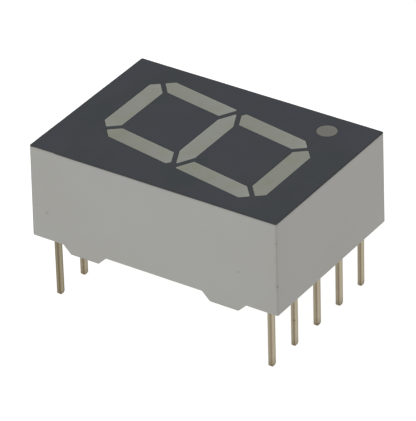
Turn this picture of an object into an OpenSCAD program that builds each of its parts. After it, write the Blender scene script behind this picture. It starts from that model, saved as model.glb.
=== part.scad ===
// One-digit seven segment display with a decimal point and ten leads.
// The origin is the middle of the lead pattern, on the plane that the feet stand on.
// +X is the digit's right, +Y is its top and +Z points out of the viewing face.

/* [Housing] */
// Width of the housing at its rim, across the digit
body_w = 12.2; // [11.8:0.1:16]
// Length of the housing at its rim, up the digit
body_l = 17.5; // [16.8:0.1:24]
// Height of the viewing face above the feet
body_h = 6.85; // [5.2:0.05:12]
// Draft of the outer walls, in degrees: they lean in towards the face
draft = 0.5; // [0:0.1:1]
// Radius of the upright outer edges
edge_r = 0.12; // [0.02:0.01:0.4]
// Radius of the upright edges inside the back pocket
pocket_r = 0.3; // [0.05:0.05:0.4]
// Depth of the back pocket, from the rim to the reflector's floor
pocket_d = 1.9; // [1.4:0.1:2.8]
// Gap between the leads and the inside of the walls
lead_clear = 0.15; // [0.05:0.01:0.3]
// Plastic left above each core, under the viewing face
face_wall = 1.0; // [0.6:0.1:2]
// Plastic left between a core and the segments around it
core_wall = 0.7; // [0.4:0.05:1.2]

/* [Feet] */
// Height of the feet, which is the gap under the walls
foot_h = 0.55; // [0.2:0.05:1]
// Width of a foot where it stands
foot_w = 2; // [0.8:0.05:3]
// Distance between the two feet of one side
foot_pitch = 9.95; // [6:0.05:12]
// Angle of a foot's sloping sides, from the level
foot_slope = 45; // [30:1:80]

/* [Digit] */
// Height of the digit
digit_h = 12.95; // [10:0.05:14]
// Width of the upright digit, measured level
digit_w = 7.4; // [6:0.01:8]
// Lean of the digit to its right, in degrees
slant = 10; // [0:1:12]
// Width of a stroke
stroke = 1.25; // [0.9:0.01:1.6]
// Gap between neighbouring segments
seg_gap = 0.32; // [0.1:0.01:0.5]
// Level and upright length cut off each outer corner of the digit
corner_cut = 1.26; // [0.6:0.01:2]
// Length cut off the middle corners of segments c and f, from the point where they meet g
joint_cut = 0.54; // [0.4:0.01:0.6]
// Radius of the corners of each segment
tip_r = 0.08; // [0.02:0.01:0.12]
// Diameter of the decimal point
dot_d = 1.3; // [1.2:0.05:1.6]
// Place of the decimal point, right of the digit's middle
dot_x = 4.41; // [4.2:0.01:4.8]
// Place of the decimal point, below the digit's middle
dot_y = 5.71; // [5:0.01:6.2]

/* [Light wells] */
// Length of a segment's well at the reflector's floor
well_l = 2.4; // [2:0.1:4]
// Width of a segment's well at the reflector's floor
well_w = 0.85; // [0.6:0.05:1.2]
// Diameter of the decimal point's well at the reflector's floor
dot_well_d = 1.16; // [1.12:0.02:1.5]
// Depth of the straight lip below the viewing face
lip = 0.5; // [0.2:0.05:1.5]

/* [Print and resin] */
// Thickness of the ink on the viewing face
print_t = 0.05; // [0.02:0.01:0.2]
// Distance of the back resin from the rim of the walls
fill_recess = 0.3; // [0.1:0.05:0.6]

/* [Leads] */
// Distance between neighbouring leads
lead_pitch = 2.54; // [2.4:0.01:2.6]
// Distance between the two rows of leads
row_span = 15.24; // [14.8:0.01:15.6]
// Width of a lead
lead_w = 0.46; // [0.3:0.01:0.6]
// Thickness of the lead strip
lead_t = 0.25; // [0.15:0.01:0.4]
// Length of a lead below the feet
lead_below = 3.85; // [2:0.05:8]
// Inside radius of a lead's bend
bend_r = 0.2; // [0.1:0.01:0.4]
// Bevel at the corners of a lead's tip
tip_bevel = 0.1; // [0.02:0.01:0.14]
// Size of the square land under a die or a bond
land = 0.5; // [0.46:0.01:0.6]
// Longest bevel where a lead turns towards its bond
elbow = 1.0; // [0.5:0.1:1.2]

/* [Dice and wires] */
// Size of a die
die_w = 0.28; // [0.2:0.01:0.36]
// Height of a die
die_h = 0.25; // [0.1:0.01:0.4]
// Distance from a segment's die to its bond
bond_reach = 0.95; // [0.8:0.01:1.2]
// Distance from the decimal point's die to its bond
dot_reach = 0.75; // [0.7:0.01:0.8]
// Thickness of a bond wire
wire_d = 0.03; // [0.02:0.005:0.06]
// Rise of a bond wire above its die
wire_rise = 0.35; // [0.15:0.05:0.8]

/* [Hidden] */
letters = ["a", "b", "c", "d", "e", "f", "g"];
signals = concat(letters, ["dp"]);

// A cutter runs this far past the face that it opens.
over = 0.2;
corner_steps = 4;
bend_steps = 8;
wire_steps = 10;
wire_sides = 6;

// Levels, from the board up
fill_z = foot_h + fill_recess;
floor_z = foot_h + pocket_d;
core_z = body_h - face_wall;
print_z = body_h - print_t;

// The pocket clears the leads, and the walls are what is left around it.
row_len = 4 * lead_pitch + lead_w;
pocket_w = row_len + 2 * lead_clear;
pocket_l = row_span + lead_t + 2 * lead_clear;
side_wall = (body_w - pocket_w) / 2;

// The outer walls lean in by the draft, so the face is a little smaller than the rim.
face_inset = (print_z - foot_h) * tan(draft);
face_w = body_w - 2 * face_inset;
face_l = body_l - 2 * face_inset;
pocket_fillet = min(pocket_r, 3 * lead_clear);

// The upright digit: half sizes of its outside and of its inside, and its corner bevel
out_x = digit_w / 2;
out_y = digit_h / 2;
in_x = out_x - stroke;
in_y = out_y - stroke;
arm_y = (digit_h - stroke) / 4;

// Plane geometry
function slanted(p) = [p.x + p.y * tan(slant), p.y];
function all_slanted(points) = [for (p = points) slanted(p)];
function unit(v) = v / norm(v);
function left_of(v) = [-v.y, v.x];
function cross2(u, v) = u.x * v.y - u.y * v.x;
function arc(centre, r, from, to) =
    [for (k = [0 : bend_steps])
        let (angle = from + (to - from) * k / bend_steps)
        centre + r * [cos(angle), sin(angle)]
    ];
function meet(p, u, q, v) = p + u * cross2(q - p, v) / cross2(u, v);

// Moves edge i of a counterclockwise outline inwards by moves[i]. Edge i starts at point i.
function inset(points, moves) =
    let (n = len(points))
    [for (i = [0 : n - 1])
        let (
            h = (i + n - 1) % n,
            u = unit(points[i] - points[h]),
            v = unit(points[(i + 1) % n] - points[i])
        )
        meet(points[i] + moves[h] * left_of(u), u, points[i] + moves[i] * left_of(v), v)
    ];

// Rounds every corner of a counterclockwise convex outline.
function rounded(points, r) =
    let (n = len(points))
    [for (i = [0 : n - 1])
        let (
            u = unit(points[i] - points[(i + n - 1) % n]),
            v = unit(points[(i + 1) % n] - points[i]),
            turn = acos(u * v),
            centre = points[i] + unit(v - u) * r / cos(turn / 2),
            start = atan2(-u.x, u.y)
        )
        for (k = [0 : corner_steps])
            let (angle = start + turn * k / corner_steps)
            centre + r * [cos(angle), sin(angle)]
    ];

// Outline of an oblong with rounded corners.
function rounded_oblong(w, l, r) =
    rounded([[w / 2, -l / 2], [w / 2, l / 2], [-w / 2, l / 2], [-w / 2, -l / 2]], r);

// Outline of a strip of width w along a path, with mitred turns.
function ribbon_side(path, w) =
    let (last = len(path) - 1)
    [for (i = [0 : last])
        let (
            a = left_of(unit(path[max(i, 1)] - path[max(i, 1) - 1])),
            b = left_of(unit(path[min(i, last - 1) + 1] - path[min(i, last - 1)]))
        )
        path[i] + (a + b) * w / 2 / (1 + a * b)
    ];
function reversed(list) = [for (i = [len(list) - 1 : -1 : 0]) list[i]];
function ribbon(path, w) = concat(ribbon_side(path, -w), reversed(ribbon_side(path, w)));

// Cells of the upright digit. The neighbours of a cell share its mitred edges.
bevel_x = out_x - corner_cut / 2;
bevel_y = out_y - corner_cut / 2;
half_gap = seg_gap / 2;
level_cell = [
    [-in_x, in_y],
    [in_x, in_y],
    [bevel_x, bevel_y],
    [out_x - corner_cut, out_y],
    [corner_cut - out_x, out_y],
    [-bevel_x, bevel_y]
];
arm_cell = [
    [in_x, stroke / 2],
    [out_x, 0],
    [out_x, out_y - corner_cut],
    [bevel_x, bevel_y],
    [in_x, in_y]
];

// The arm with its tip at the middle joint cut off
joint_way = unit([-stroke, stroke / 2]);
cut_arm_cell = concat(
    [arm_cell[0], arm_cell[1] + joint_cut * joint_way, [out_x, joint_cut]],
    [for (i = [2 : 4]) arm_cell[i]]
);
middle_cell = [
    [-out_x, 0],
    [-in_x, -stroke / 2],
    [in_x, -stroke / 2],
    [out_x, 0],
    [in_x, stroke / 2],
    [-in_x, stroke / 2]
];
level_seg = inset(level_cell, [0, half_gap, 0, 0, 0, half_gap]);
arm_seg = inset(arm_cell, [half_gap, 0, 0, half_gap, 0]);
cut_arm_seg = inset(cut_arm_cell, [half_gap, 0, 0, 0, half_gap, 0]);
middle_seg = inset(middle_cell, [half_gap, 0, half_gap, half_gap, 0, half_gap]);

// Copies an outline to another quarter of the digit, still counterclockwise.
function quarter(points, sx, sy) =
    let (moved = [for (p = points) [p.x * sx, p.y * sy]])
    sx * sy > 0 ? moved : reversed(moved);

// Per segment: the outline, the quarter that it goes to, and its middle in the upright digit
function is_level(s) = s == "a" || s == "d" || s == "g";
function side_x(s) = s == "e" || s == "f" ? -1 : 1;
function side_y(s) = s == "c" || s == "d" || s == "e" ? -1 : 1;
function base_seg(s) = s == "g" ? middle_seg
    : is_level(s) ? level_seg
    : s == "c" || s == "f" ? cut_arm_seg : arm_seg;
function upright_seg(s) = quarter(rounded(base_seg(s), tip_r), side_x(s), side_y(s));
function upright_middle(s) =
    s == "g" ? [0, 0]
    : is_level(s) ? [0, side_y(s) * (out_y - stroke / 2)]
    : [side_x(s) * (out_x - stroke / 2), side_y(s) * arm_y];

// The outline at the reflector's floor: the segment drawn in to the well's length and width.
function seg_size(s) = is_level(s)
    ? [2 * in_x, stroke]
    : [stroke, in_y - stroke / 2];
function well_scale(s) = is_level(s)
    ? [well_l / seg_size(s).x, well_w / seg_size(s).y]
    : [well_w / seg_size(s).x, well_l / seg_size(s).y];
function upright_well(s) =
    let (m = upright_middle(s), k = well_scale(s))
    [for (p = upright_seg(s)) [m.x + (p.x - m.x) * k.x, m.y + (p.y - m.y) * k.y]];
function window(s) = all_slanted(upright_seg(s));
function well(s) = all_slanted(upright_well(s));

// Pins 1 to 5 run left to right in the bottom row, and 6 to 10 right to left in the top row.
function pin_at(n) = n <= 5
    ? [(n - 3) * lead_pitch, -row_span / 2]
    : [(8 - n) * lead_pitch, row_span / 2];
function pin_of(s) = [7, 6, 4, 2, 1, 9, 10, 5][search([s], signals)[0]];
function row_side(s) = sign(pin_at(pin_of(s)).y);

// Direction from a die to its bond, along the stroke and towards the lead's own pin.
function reach_way(s) =
    s == "a" ? [1, 0] : s == "d" || s == "g" ? [-1, 0] : [0, row_side(s)];
function spot(s, way) =
    s == "dp" ? [dot_x, -dot_y] + reach_way(s) * way * dot_reach / 2
    : slanted(upright_middle(s) + reach_way(s) * way * bond_reach / 2);
function die_at(s) = spot(s, -1);
function bond_at(s) = spot(s, 1);

// A lead's path on the reflector's floor, from its bend to its bond
bend_y = row_span / 2 - lead_t / 2 - bend_r;
function lead_path(s) =
    let (
        pin = pin_at(pin_of(s)),
        bond = bond_at(s),
        aside = pin.x - bond.x,
        room = bend_y - abs(bond.y) - lead_w / 2,
        bevel = min(abs(aside), elbow, room),
        turn_in = [pin.x, bond.y + row_side(s) * bevel],
        turn_out = [pin.x - sign(aside) * bevel, bond.y]
    )
    abs(aside) < land / 4 ? [[pin.x, sign(pin.y) * bend_y], [pin.x, bond.y]]
    : abs(aside) == bevel ? [[pin.x, sign(pin.y) * bend_y], turn_in, bond]
    : [[pin.x, sign(pin.y) * bend_y], turn_in, turn_out, bond];

// The common lead: a trunk that steps aside for the bond of segment g, and branches to the dice
step_x = die_at("g").x;
trunk_path = [
    [0, bend_y],
    [0, 2 * step_x + land],
    [step_x, land],
    [step_x, -land],
    [0, -2 * step_x - land],
    [0, -bend_y]
];
function branch_path(s) = s == "dp"
    ? [[0, die_at("c").y], [dot_x, die_at("c").y], die_at("dp")]
    : [[0, die_at(s).y], die_at(s)];

module rounded_block(w, l, h, r) {
    linear_extrude(h) {
        square([w, l - 2 * r], center = true);
        square([w - 2 * r, l], center = true);
        for (sx = [-1, 1], sy = [-1, 1])
            translate([sx * (w / 2 - r), sy * (l / 2 - r)]) circle(r, $fn = 32);
    }
}

// Solid between counterclockwise rings of points, from the lowest ring to the highest.
module loft(rings) {
    n = len(rings[0]);
    top = (len(rings) - 1) * n;
    sides = [
        for (k = [0 : len(rings) - 2], i = [0 : n - 1])
            let (a = k * n + i, b = k * n + (i + 1) % n)
            each [[a, a + n, b + n], [a, b + n, b]]
    ];
    caps = [[for (i = [0 : n - 1]) i], [for (i = [n - 1 : -1 : 0]) top + i]];
    polyhedron([for (ring = rings) each ring], concat(sides, caps));
}

function at_level(points, z) = [for (p = points) [p.x, p.y, z]];

// The light body of a segment, or its cutter, which runs on at both ends.
module light_body(s, run_on = 0) {
    loft([
        if (run_on > 0) at_level(well(s), floor_z - run_on),
        at_level(well(s), floor_z),
        at_level(window(s), body_h - lip),
        at_level(window(s), body_h + run_on)
    ]);
}

// The light body of the decimal point, or its cutter.
module dot_body(run_on = 0) {
    well_r = dot_well_d / 2;
    face = body_h - floor_z;
    profile = [
        [0, -run_on],
        if (run_on > 0) [well_r, -run_on],
        [well_r, 0],
        [dot_d / 2, face - lip],
        [dot_d / 2, face + run_on],
        [0, face + run_on]
    ];
    translate([dot_x, -dot_y, floor_z]) rotate_extrude($fn = 48) polygon(profile);
}

module foot() {
    run = foot_h / tan(foot_slope);
    outline = [
        [-foot_w / 2, 0],
        [foot_w / 2, 0],
        [foot_w / 2 + run, foot_h],
        [foot_w / 2 + run, foot_h + over],
        [-foot_w / 2 - run, foot_h + over],
        [-foot_w / 2 - run, foot_h]
    ];
    rotate([90, 0, 90]) linear_extrude(side_wall) polygon(outline);
}

// A core behind one loop of the digit, open to the pocket
module core(way) {
    half_x = in_x - core_wall;
    near = stroke / 2 + core_wall;
    far = in_y - core_wall;
    corners = [[-half_x, near], [half_x, near], [half_x, far], [-half_x, far]];
    linear_extrude(core_z - floor_z + over)
        polygon(all_slanted(quarter(corners, 1, way)));
}

module housing() {
    color([0.64, 0.64, 0.62])
    difference() {
        union() {
            loft([
                at_level(rounded_oblong(body_w, body_l, edge_r), foot_h),
                at_level(rounded_oblong(face_w, face_l, edge_r), print_z)
            ]);
            for (side = [0, 180], way = [-1, 1])
                rotate(side)
                    translate([body_w / 2 - side_wall, way * foot_pitch / 2, 0]) foot();
        }
        translate([0, 0, foot_h - over])
            rounded_block(pocket_w, pocket_l, pocket_d + over, pocket_fillet);
        for (way = [-1, 1])
            translate([0, 0, floor_z - over]) core(way);
        for (s = letters) light_body(s, over);
        dot_body(over);
    }
}

module face_print() {
    color([0.16, 0.17, 0.19])
    difference() {
        translate([0, 0, print_z])
            linear_extrude(print_t) polygon(rounded_oblong(face_w, face_l, edge_r));
        for (s = letters)
            translate([0, 0, print_z - over])
                linear_extrude(print_t + 2 * over) polygon(window(s));
        translate([dot_x, -dot_y, print_z - over])
            cylinder(d = dot_d, h = print_t + 2 * over, $fn = 48);
    }
}

module segment(s) {
    color([0.6, 0.61, 0.55])
    difference() {
        light_body(s);
        die_solid(s);
        wire_solid(s);
    }
}

module decimal_point() {
    color([0.55, 0.54, 0.5])
    difference() {
        dot_body();
        die_solid("dp");
        wire_solid("dp");
    }
}

// The resin fills the pocket up to the reflector's floor, and the cores.
module back_fill() {
    color([0.72, 0.7, 0.62])
    difference() {
        union() {
            translate([0, 0, fill_z])
                rounded_block(pocket_w, pocket_l, floor_z - fill_z, pocket_fillet);
            for (way = [-1, 1])
                translate([0, 0, floor_z - over]) core(way);
        }
        for (s = signals) lead_solid(s);
        common_solid();
    }
}

// The bent end of a lead in the row at +Y, with x = 0 at its middle: the side view that the
// strip is bent to, met by the front view that gives its width and its bevelled tip
module formed_end() {
    tail = lead_w;
    half = lead_w / 2;
    bend_at = [bend_y, floor_z - lead_t - bend_r];
    side_view = concat(
        [[bend_y - tail, floor_z]],
        arc(bend_at, bend_r + lead_t, 90, 0),
        [[bend_at.x + bend_r + lead_t, -lead_below - over]],
        [[bend_at.x + bend_r, -lead_below - over]],
        arc(bend_at, bend_r, 0, 90),
        [[bend_y - tail, floor_z - lead_t]]
    );
    front_view = [
        [-half, floor_z + over],
        [-half, tip_bevel - lead_below],
        [tip_bevel - half, -lead_below],
        [half - tip_bevel, -lead_below],
        [half, tip_bevel - lead_below],
        [half, floor_z + over]
    ];
    intersection() {
        rotate([90, 0, 90]) linear_extrude(2 * lead_w, center = true) polygon(side_view);
        translate([0, row_span / 2 + lead_t, 0])
            rotate([90, 0, 0])
                linear_extrude(2 * lead_t + bend_r + tail) polygon(front_view);
    }
}

module formed_end_at(pin) {
    translate([pin.x, 0, 0]) rotate(pin.y > 0 ? 0 : 180) formed_end();
}

module strip(path) {
    translate([0, 0, floor_z - lead_t]) linear_extrude(lead_t) {
        polygon(ribbon(path, lead_w));
        translate(path[len(path) - 1]) square(land, center = true);
    }
}

module lead_solid(s) {
    strip(lead_path(s));
    formed_end_at(pin_at(pin_of(s)));
}

module common_solid() {
    translate([0, 0, floor_z - lead_t])
        linear_extrude(lead_t) polygon(ribbon(trunk_path, lead_w));
    for (s = signals)
        if (s != "g") strip(branch_path(s));
    for (pin = [pin_at(3), pin_at(8)]) formed_end_at(pin);
}

module lead(s) {
    color([0.75, 0.66, 0.5]) lead_solid(s);
}

module lead_common() {
    color([0.75, 0.66, 0.5]) common_solid();
}

module die_solid(s) {
    middle = die_at(s);
    translate([middle.x - die_w / 2, middle.y - die_w / 2, floor_z])
        cube([die_w, die_w, die_h]);
}

module die(s) {
    color([0.35, 0.3, 0.3]) die_solid(s);
}

// A bond wire: two quarter ellipses, up from the die's top and down to the lead
module wire_solid(s) {
    from = die_at(s);
    along = unit(bond_at(s) - from);
    span = norm(bond_at(s) - from);
    rings = [
        for (k = [0 : wire_steps])
            let (
                angle = 180 * k / wire_steps,
                rise = angle < 90 ? wire_rise : wire_rise + die_h,
                base = angle < 90 ? floor_z + die_h : floor_z,
                spine = from + along * span * (1 - cos(angle)) / 2,
                heading = unit([span / 2 * sin(angle), rise * cos(angle)])
            )
            [for (j = [0 : wire_sides - 1])
                let (
                    turn = 360 * j / wire_sides,
                    aside = wire_d / 2 * cos(turn),
                    out = wire_d / 2 * sin(turn),
                    flat = spine - along * heading.y * out + left_of(along) * aside
                )
                [flat.x, flat.y, base + rise * sin(angle) + heading.x * out]
            ]
    ];
    loft(rings);
}

module wire(s) {
    color([0.85, 0.7, 0.3]) wire_solid(s);
}

housing();
face_print();
back_fill();
decimal_point();
lead_common();
for (s = letters) segment(s);
for (s = signals) lead(s);
for (s = signals) die(s);
for (s = signals) wire(s);
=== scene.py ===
import bmesh
import bpy
import numpy as np
from mathutils import Matrix, Vector
from mathutils.geometry import tessellate_polygon


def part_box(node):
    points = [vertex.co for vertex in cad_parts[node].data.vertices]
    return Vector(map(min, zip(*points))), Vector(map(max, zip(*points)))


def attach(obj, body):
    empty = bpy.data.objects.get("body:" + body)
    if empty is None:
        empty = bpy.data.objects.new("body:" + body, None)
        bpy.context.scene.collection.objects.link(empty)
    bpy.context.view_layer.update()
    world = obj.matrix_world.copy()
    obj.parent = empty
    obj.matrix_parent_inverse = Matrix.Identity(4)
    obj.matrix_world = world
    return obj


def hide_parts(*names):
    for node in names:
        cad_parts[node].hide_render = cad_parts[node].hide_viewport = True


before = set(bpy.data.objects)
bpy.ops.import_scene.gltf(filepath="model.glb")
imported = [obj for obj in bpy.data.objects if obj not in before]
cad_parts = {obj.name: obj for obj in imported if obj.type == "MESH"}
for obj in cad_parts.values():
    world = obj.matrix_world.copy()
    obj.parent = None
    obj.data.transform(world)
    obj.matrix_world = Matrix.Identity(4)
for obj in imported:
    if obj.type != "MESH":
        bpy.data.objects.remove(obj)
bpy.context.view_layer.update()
mm = 0.001
hair = 0.001 * mm  # too small a length to matter
white = (1.0, 1.0, 1.0, 1.0)
letters = "abcdefg"
signals = [*letters, "dp"]


# Levels and sizes come from the frame's own nodes.
def nodeBox(name):
    low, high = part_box(name)
    return np.array(low, float), np.array(high, float)


housingLow, housingHigh = nodeBox("housing")
printLow, printHigh = nodeBox("face_print")
fillLow, fillHigh = nodeBox("back_fill")
dotLow, dotHigh = nodeBox("decimal_point")
faceLevel = printHigh[2]
floorLevel = nodeBox("segment_g")[0][2]
fillLevel = fillLow[2]
tipLevel = nodeBox("lead_g")[0][2]


def feed(tree, socket, value):
    # A socket takes either another node's output or a value of its own.
    if isinstance(value, bpy.types.NodeSocket):
        tree.links.new(value, socket)
    else:
        socket.default_value = value


def addNode(tree, kind, values=None, **settings):
    node = tree.nodes.new("ShaderNode" + kind)
    for key, value in settings.items():
        setattr(node, key, value)
    for key, value in (values or {}).items():
        feed(tree, node.inputs[key], value)
    return node


def calc(tree, operation, *numbers):
    return addNode(tree, "Math", dict(enumerate(numbers)), operation=operation).outputs[0]


def ramp(tree, value, fromLow, fromHigh, toLow=0.0, toHigh=1.0):
    # smooth step from one range of values to another
    return addNode(tree, "MapRange", {"Value": value, "From Min": fromLow, "From Max": fromHigh,
                                      "To Min": toLow, "To Max": toHigh},
                   interpolation_type="SMOOTHSTEP").outputs[0]


def noiseOf(tree, at, values):
    return addNode(tree, "TexNoise", {"Vector": at, **values}).outputs[0]


def mixColours(tree, factor, first, second, blend="MIX"):
    # A Mix node takes its two colours at sockets 6 and 7, and gives one at output 2.
    return addNode(tree, "Mix", {0: factor, 6: first, 7: second}, data_type="RGBA",
                   blend_type=blend).outputs[2]


def tintBy(tree, colour, *tones):
    # the colour times each tone in turn
    for tone in tones:
        colour = mixColours(tree, 1.0, colour, tone, "MULTIPLY")
    return colour


def markWith(tree, mask, share, colour, markColour):
    # The mark's colour goes over the other one, by the mask times the share.
    return mixColours(tree, calc(tree, "MULTIPLY", mask, share), colour, markColour)


def startGroup(name, inputs, outputs):
    group = bpy.data.node_groups.new(name, "ShaderNodeTree")
    for label, kind, value in inputs:
        socket = group.interface.new_socket(name=label, in_out="INPUT", socket_type="NodeSocket" + kind)
        socket.default_value = value
    for label, kind in outputs:
        group.interface.new_socket(name=label, in_out="OUTPUT", socket_type="NodeSocket" + kind)
    return group, group.nodes.new("NodeGroupInput").outputs, group.nodes.new("NodeGroupOutput").inputs


def useGroup(tree, name, values):
    return addNode(tree, "Group", values, node_tree=bpy.data.node_groups[name]).outputs


def place(tree):
    return addNode(tree, "TexCoord").outputs["Object"]


def displayColour(red, green, blue):
    # Display values from 0 to 255 become the linear ones that a shader takes: a straight toe,
    # and above it a power of 2.4.
    share = np.array([red, green, blue]) / 255
    linear = np.where(share <= 0.04045, share / 12.92, ((share + 0.055) / 1.055) ** 2.4)
    return (*linear.tolist(), 1.0)


def startMaterial(name, look):
    material = bpy.data.materials.new(name)
    material.use_nodes = True
    tree = material.node_tree
    tree.nodes.clear()
    shader = addNode(tree, "BsdfPrincipled", {
        "Roughness": look["roughness"], "Specular IOR Level": look["specular"],
        "Metallic": look.get("metallic", 0.0)})
    addNode(tree, "OutputMaterial", {"Surface": shader.outputs[0]})
    return material, tree, shader


def swingRough(tree, look, value):
    # The roughness swings about its own value as the given one goes through its range.
    low, high = (look["roughness"] + swing for swing in look["roughSwing"])
    return ramp(tree, value, *look["roughRange"], low, high)


def finishSurface(tree, shader, colour, rough, height, distance):
    # A height of 1 stands out by the distance.
    bump = addNode(tree, "Bump", {"Height": height, "Distance": distance, "Strength": 1.0})
    for label, value in (("Base Color", colour), ("Roughness", rough), ("Normal", bump.outputs[0])):
        feed(tree, shader.inputs[label], value)


def makeEdgeMask():
    # On a box's face one of the three distances to its sides is nearly nothing, so the middle
    # one of the three is the way to the nearest edge. The sides lean in by the draft above the
    # rim. Noise makes the band uneven.
    group, given, result = startGroup("edgeMask", [
        ("Middle", "Vector", (0, 0, 0)), ("Half Size", "Vector", (0.01, 0.01, 0.01)),
        ("Reach", "Float", 0.2 * mm), ("Break Up", "Float", 0.5), ("Scale", "Float", 2000.0),
        ("Rim", "Float", 0.0), ("Draft", "Float", 0.0)],
        [("Mask", "Float")])
    at = place(group)
    offset = addNode(group, "VectorMath", {0: at, 1: given["Middle"]}, operation="SUBTRACT")
    size = addNode(group, "VectorMath", {0: offset.outputs[0]}, operation="ABSOLUTE")
    inside = addNode(group, "VectorMath", {0: given["Half Size"], 1: size.outputs[0]},
                     operation="SUBTRACT")
    x, y, z = addNode(group, "SeparateXYZ", {0: inside.outputs[0]}).outputs
    height = calc(group, "SUBTRACT", addNode(group, "SeparateXYZ", {0: at}).outputs[2], given["Rim"])
    leanIn = calc(group, "MULTIPLY", calc(group, "MAXIMUM", height, 0.0), given["Draft"])
    small = calc(group, "SUBTRACT", calc(group, "MINIMUM", x, y), leanIn)
    large = calc(group, "SUBTRACT", calc(group, "MAXIMUM", x, y), leanIn)
    middle = calc(group, "MAXIMUM", small, calc(group, "MINIMUM", large, z))
    noise = noiseOf(group, at, {"Scale": given["Scale"], "Detail": 3.0})
    swing = calc(group, "MULTIPLY", calc(group, "SUBTRACT", noise, 0.5),
                 calc(group, "MULTIPLY", given["Break Up"], 2.0))
    reach = calc(group, "MULTIPLY", given["Reach"], calc(group, "ADD", swing, 1.0))
    group.links.new(ramp(group, middle, 0.0, reach, 1.0, 0.0), result["Mask"])


def makeGrain():
    # Coarse and fine noise together: the texture that a mould leaves, as a height and a tone
    group, given, result = startGroup("mouldedGrain", [
        ("Scale", "Float", 9000.0), ("Fine Share", "Float", 0.4), ("Tone Swing", "Float", 0.05)],
        [("Height", "Float"), ("Tone", "Float")])
    fineness = 3.7  # of the fine noise, against the coarse one
    at = place(group)
    coarse = noiseOf(group, at, {"Scale": given["Scale"], "Detail": 2.0})
    fine = noiseOf(group, at, {"Scale": calc(group, "MULTIPLY", given["Scale"], fineness), "Detail": 2.0})
    height = addNode(group, "Mix", {0: given["Fine Share"], 2: coarse, 3: fine}).outputs[0]
    group.links.new(height, result["Height"])
    swing = calc(group, "MULTIPLY", calc(group, "SUBTRACT", height, 0.5), given["Tone Swing"])
    group.links.new(calc(group, "ADD", swing, 1.0), result["Tone"])


def makeMottle():
    # Soft patches as a factor round 1. The stretch lengthens them along an axis.
    group, given, result = startGroup("softMottle", [
        ("Scale", "Float", 300.0), ("Swing", "Float", 0.05), ("Stretch", "Vector", (1, 1, 1))],
        [("Tone", "Float")])
    stretched = addNode(group, "VectorMath", {0: place(group), 1: given["Stretch"]},
                        operation="MULTIPLY").outputs[0]
    noise = noiseOf(group, stretched, {"Scale": given["Scale"], "Detail": 4.0, "Roughness": 0.6})
    swing = calc(group, "MULTIPLY", calc(group, "SUBTRACT", noise, 0.5), given["Swing"])
    group.links.new(calc(group, "ADD", calc(group, "MULTIPLY", swing, 2.0), 1.0), result["Tone"])


def makeSpecks():
    # A small round dot in some of the cells of a Voronoi pattern
    group, given, result = startGroup("dustSpecks", [
        ("Scale", "Float", 1200.0), ("Size", "Float", 0.1), ("Amount", "Float", 0.1)],
        [("Mask", "Float")])
    pattern = addNode(group, "TexVoronoi", {"Vector": place(group), "Scale": given["Scale"]}).outputs
    chance = addNode(group, "SeparateColor", {0: pattern["Color"]}).outputs[0]
    chosen = calc(group, "LESS_THAN", chance, given["Amount"])
    dot = ramp(group, pattern["Distance"], 0.0, given["Size"], 1.0, 0.0)
    group.links.new(calc(group, "MULTIPLY", dot, chosen), result["Mask"])


def makeSpot():
    # One soft mark round a point
    group, given, result = startGroup("scuffMark", [
        ("Place", "Vector", (0, 0, 0)), ("Radius", "Float", 0.2 * mm)], [("Mask", "Float")])
    at = place(group)
    away = addNode(group, "VectorMath", {0: at, 1: given["Place"]}, operation="DISTANCE")
    noise = noiseOf(group, at, {"Scale": 6000.0, "Detail": 2.0})
    reach = calc(group, "MULTIPLY", given["Radius"], calc(group, "ADD", noise, 0.5))
    group.links.new(ramp(group, away.outputs["Value"], 0.0, reach, 1.0, 0.0), result["Mask"])


for makeOne in (makeEdgeMask, makeGrain, makeMottle, makeSpecks, makeSpot):
    makeOne()
print("stage: node groups")


def patchColours(tree, look, first, second):
    # Soft patches: as the noise goes through its range, the first colour turns to the second.
    share = ramp(tree, noiseOf(tree, place(tree), look["patches"]), *look["patchRange"])
    return mixColours(tree, share, first, second)


def boxEdges(tree, low, high, values):
    # the worn band along the edges of a box between two corners
    return useGroup(tree, "edgeMask", {
        "Middle": tuple((low + high) / 2), "Half Size": tuple((high - low) / 2), **values})["Mask"]


def scuffAt(tree, at, radius):
    return useGroup(tree, "scuffMark", {"Place": tuple(mm * np.array(at)), "Radius": radius * mm})["Mask"]


def edgeUnits(points):
    # For each point of an outline, the unit vector of the edge that ends there, and of the edge
    # that starts there
    ahead = np.roll(points, -1, 0) - points
    ahead /= np.linalg.norm(ahead, axis=1, keepdims=True)
    return np.roll(ahead, 1, 0), ahead


def leftOf(ways):
    # each vector turned a quarter to the left: x, y becomes -y, x
    return np.stack([-ways[:, 1], ways[:, 0]], 1)


def cross2(a, b):
    # row by row, the first x times the second y, less the first y times the second x
    return a[:, 0] * b[:, 1] - a[:, 1] * b[:, 0]


def insetOutline(points, moves):
    # Edge i, from point i to the next, moves inwards by moves[i]; each corner is where the two
    # moved lines cross.
    before, ahead = edgeUnits(points)
    p = points + np.roll(moves, 1)[:, None] * leftOf(before)
    q = points + moves[:, None] * leftOf(ahead)
    return p + before * (cross2(q - p, ahead) / cross2(before, ahead))[:, None]


def drawIn(points, distance):
    # Each point of a counterclockwise outline goes inwards along the mean of its two edges'
    # normals, lengthened so that both edges move by the distance.
    before, ahead = edgeUnits(points)
    lengthen = distance / (1 + (before * ahead).sum(1))
    return points + (leftOf(before) + leftOf(ahead)) * lengthen[:, None]


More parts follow.
